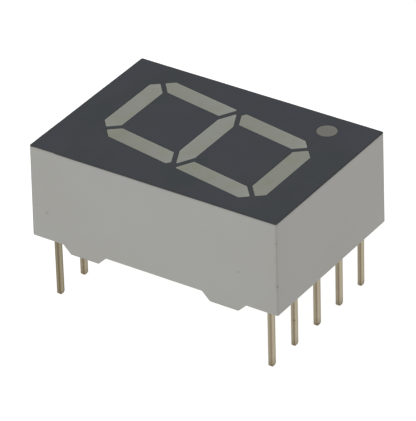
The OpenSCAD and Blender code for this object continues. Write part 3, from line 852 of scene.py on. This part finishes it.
def makeFill():
    # A grid of cells over the pocket, with the legs' cells left out. Its underside climbs by
    # climb * exp(-distance to the nearest wall or leg / creep) towards the rim.
    halfX, halfY = (fillHigh[:2] - fillLow[:2]) / 2
    legX = lead["pitch"] * np.arange(-2, 3)  # five legs in a row
    w, t, row = lead["width"] / 2, lead["thickness"] / 2, lead["span"] / 2
    xs = stops(np.concatenate([[-halfX], np.sort(np.concatenate([legX - w, legX + w])), [halfX]]))
    ys = stops(np.array([-halfY, -row - t, -row + t, row - t, row + t, halfY]))
    placeX, placeY, toWall = roundCorners(*np.meshgrid(xs, ys, indexing="ij"), halfX, halfY)
    fromLegX = np.maximum(np.abs(placeX[..., None] - legX).min(2) - w, 0)
    fromLegY = np.maximum(np.abs(np.abs(placeY) - row) - t, 0)
    away = np.minimum(toWall, np.hypot(fromLegX, fromLegY))
    under = fillLevel - fill["climb"] * np.exp(-away / fill["creep"])
    over = np.full_like(under, floorLevel)
    points = np.concatenate([np.stack([placeX, placeY, z], 2).reshape(-1, 3) for z in (under, over)])
    lowId = np.arange(placeX.size).reshape(placeX.shape)
    highId = lowId + placeX.size
    midX = (xs[:-1] + xs[1:])[:, None] / 2
    midY = (ys[:-1] + ys[1:])[None] / 2
    isLeg = (np.abs(midX[..., None] - legX).min(2) < w) & (np.abs(np.abs(midY) - row) < t)

    def cellFaces(ids, faceDown):
        quads = np.stack([ids[:-1, :-1], ids[1:, :-1], ids[1:, 1:], ids[:-1, 1:]], 2)[~isLeg]
        return (quads[:, ::-1] if faceDown else quads).tolist()

    # A wall stands wherever a kept cell meets one that is left out: first across x, then across y.
    faces = cellFaces(lowId, True) + cellFaces(highId, False)
    kept = np.pad(~isLeg, 1)
    for ahead, behind, first, last in (
            (kept[1:, 1:-1], kept[:-1, 1:-1], np.s_[:, :-1], np.s_[:, 1:]),
            (kept[1:-1, 1:], kept[1:-1, :-1], np.s_[1:, :], np.s_[:-1, :])):
        walls = np.stack([lowId[first], lowId[last], highId[last], highId[first]], 2)
        faces += walls[behind & ~ahead].tolist() + walls[ahead & ~behind][:, ::-1].tolist()
    return points, faces


addPiece(newMesh("back_resin", *makeFill()), makeFillMaterial(), "back_fill",
         fill["smoothAngle"])
print("stage: back resin")


die = dict(colour=displayColour(92, 78, 74), darkColour=displayColour(70, 60, 62), roughness=0.25,
           patches={"Scale": 20000.0 / 3, "Detail": 2.0}, patchRange=(0.4, 0.65), specular=0.5,
           grain={"Scale": 20000.0, "Fine Share": 0.5, "Tone Swing": 0.2}, bump=0.001 * mm)
wire = dict(colour=displayColour(214, 178, 96), darkColour=displayColour(196, 156, 78), roughness=0.22,
            patches={"Scale": 10000.0, "Detail": 2.0}, patchRange=(0.4, 0.65), specular=0.5,
            grain={"Scale": 30000.0, "Fine Share": 0.5, "Tone Swing": 0.2}, bump=0.001 * mm,
            metallic=1.0)


def makeSmallMaterial(name, look):
    material, tree, shader = startMaterial(name, look)
    grain = useGroup(tree, "mouldedGrain", look["grain"])
    toned = tintBy(tree, patchColours(tree, look, look["colour"], look["darkColour"]), grain["Tone"])
    finishSurface(tree, shader, toned, look["roughness"], grain["Height"], look["bump"])
    return material


for prefix, material in (("die_", makeSmallMaterial("dieCrystal", die)),
                         ("wire_", makeSmallMaterial("wireGold", wire))):
    for signal in signals:
        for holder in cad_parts[prefix + signal].material_slots:
            holder.material = material
print("stage: dice and wires")


studio = dict(floorSize=3.0, floorColour=(0.25, 0.25, 0.247, 1.0), glow=0.90, roughness=0.9,
              specular=0.0, skyStrength=0.5, backdropStrength=1.05, aim=(0, 0, 3 * mm))

# A light table: the floor glows a little, so that shadows on it stay faint.
floorMesh = bpy.data.meshes.new("floor")
corners = [(x * studio["floorSize"], y * studio["floorSize"], tipLevel)
           for x, y in ((-1, -1), (1, -1), (1, 1), (-1, 1))]
floorMesh.from_pydata(corners, [], [(0, 1, 2, 3)])
floor = bpy.data.objects.new("floor", floorMesh)
bpy.context.scene.collection.objects.link(floor)
floorMaterial, _, floorShader = startMaterial("paleFloor", studio)
floorShader.inputs["Base Color"].default_value = studio["floorColour"]
floorShader.inputs["Emission Color"].default_value = white
floorShader.inputs["Emission Strength"].default_value = studio["glow"]
floorMesh.materials.append(floorMaterial)

# The sky lights the part softly, and is plain white where it is seen itself.
world = bpy.data.worlds.new("studio")
world.use_nodes = True
sky = world.node_tree.nodes["Background"]
sky.inputs["Color"].default_value = white
seen = addNode(world.node_tree, "LightPath").outputs["Is Camera Ray"]
feed(world.node_tree, sky.inputs["Strength"], ramp(
    world.node_tree, seen, 0.0, 1.0, studio["skyStrength"], studio["backdropStrength"]))
bpy.context.scene.world = world
bpy.context.scene.view_settings.view_transform = "Standard"

# places and sizes in metres, power in watts
softBoxes = dict(
    overhead=dict(at=(-0.05, 0.02, 0.42), size=0.35, power=0.90, tint=white[:3]),
    left=dict(at=(-0.40, 0.10, 0.14), size=0.30, power=0.40, tint=white[:3]),
    front=dict(at=(-0.02, -0.42, 0.16), size=0.30, power=0.17, tint=(1.0, 0.80, 0.77)))
for name, box in softBoxes.items():
    light = bpy.data.lights.new(name, "AREA")
    light.energy = box["power"]
    light.size = box["size"]
    light.color = box["tint"]
    lamp = bpy.data.objects.new(name, light)
    lamp.location = box["at"]
    turned = Vector(box["at"]) - Vector(studio["aim"])
    lamp.rotation_euler = turned.to_track_quat("Z", "Y").to_euler()
    bpy.context.scene.collection.objects.link(lamp)

# The camera stands back from the origin by distance, and is then moved aside and up.
view = dict(azimuth=-56.114, elevation=32.030, roll=-1.661, distance=246.076 * mm,
            aside=-0.087 * mm, above=1.510 * mm, lens=347.70, sensor=36.0, nearest=10 * mm,
            farthest=20.0)
az, el, roll = (np.radians(view[key]) for key in ("azimuth", "elevation", "roll"))
back = np.array([np.sin(az) * np.cos(el), -np.cos(az) * np.cos(el), np.sin(el)])
across = np.array([np.cos(az), np.sin(az), 0.0])
raised = np.cross(back, across)
right = np.cos(roll) * across + np.sin(roll) * raised
up = np.cos(roll) * raised - np.sin(roll) * across
spot = back * view["distance"] + right * view["aside"] + up * view["above"]
cameraData = bpy.data.cameras.new("camera")
cameraData.sensor_fit = "VERTICAL"
cameraData.sensor_height = view["sensor"]
cameraData.lens = view["lens"]
cameraData.clip_start = view["nearest"]
cameraData.clip_end = view["farthest"]
camera = bpy.data.objects.new("camera", cameraData)
camera.matrix_world = Matrix([[right[i], up[i], back[i], spot[i]] for i in range(3)] + [[0, 0, 0, 1]])
bpy.context.scene.collection.objects.link(camera)
bpy.context.scene.camera = camera
print("stage: floor, light and camera")
